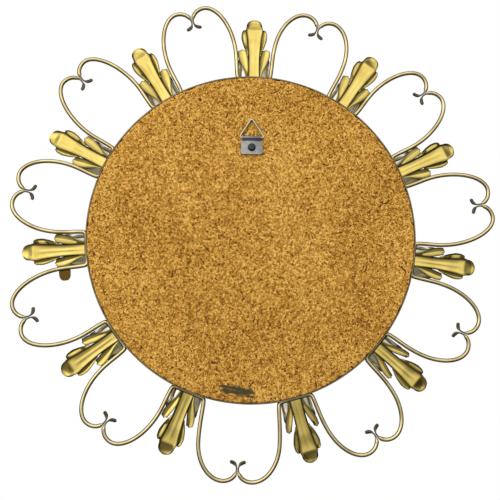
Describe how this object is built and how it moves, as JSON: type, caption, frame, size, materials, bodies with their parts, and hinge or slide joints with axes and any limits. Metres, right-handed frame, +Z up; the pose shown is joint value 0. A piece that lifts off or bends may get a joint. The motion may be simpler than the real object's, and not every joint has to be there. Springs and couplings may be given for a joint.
{
  "type": "wall_mirror",
  "caption": "Round wall mirror in a gilt metal hoop, ringed by scroll brackets that form hearts, with an acanthus leaf in each and a ring hanger on its chipboard back",
  "frame": {"origin": "the point where the nail bears, inside the top of the hanger ring", "axes": "+X to the left as the back is seen, +Y out of the back towards the wall, +Z up"},
  "size_m": [0.5156, 0.0253, 0.509],
  "materials": {
    "silvered_glass": "polished",
    "hoop_metal": "satin",
    "chipboard": "matte",
    "rod_metal": "satin",
    "leaf_brass": "polished",
    "hanger_steel": "satin",
    "ring_wire": "satin",
    "screw_steel": "satin"
  },
  "bodies": {
    "mirror": {"mirror_glass": "silvered_glass", "rim_hoop": "hoop_metal", "backing_board": "chipboard", "hanger_plate": "hanger_steel", "hanger_screw": "screw_steel", "scroll_01": "rod_metal", "scroll_02": "rod_metal", "scroll_03": "rod_metal", "scroll_04": "rod_metal", "scroll_05": "rod_metal", "scroll_06": "rod_metal", "scroll_07": "rod_metal", "scroll_08": "rod_metal", "scroll_09": "rod_metal", "scroll_10": "rod_metal", "scroll_11": "rod_metal", "leaf_01": "leaf_brass", "leaf_02": "leaf_brass", "leaf_03": "leaf_brass", "leaf_04": "leaf_brass", "leaf_05": "leaf_brass", "leaf_06": "leaf_brass", "leaf_07": "leaf_brass", "leaf_08": "leaf_brass", "leaf_09": "leaf_brass", "leaf_10": "leaf_brass", "leaf_11": "leaf_brass"},
    "ring": {"hanger_ring": "ring_wire"}
  },
  "joints": [
    {"name": "ring_hinge", "type": "hinge", "parent": "mirror", "child": "ring", "pos_m": [0, 0.00119, -0.01917], "axis": [-1, 0, 0], "range_deg": [0, 150]}
  ]
}
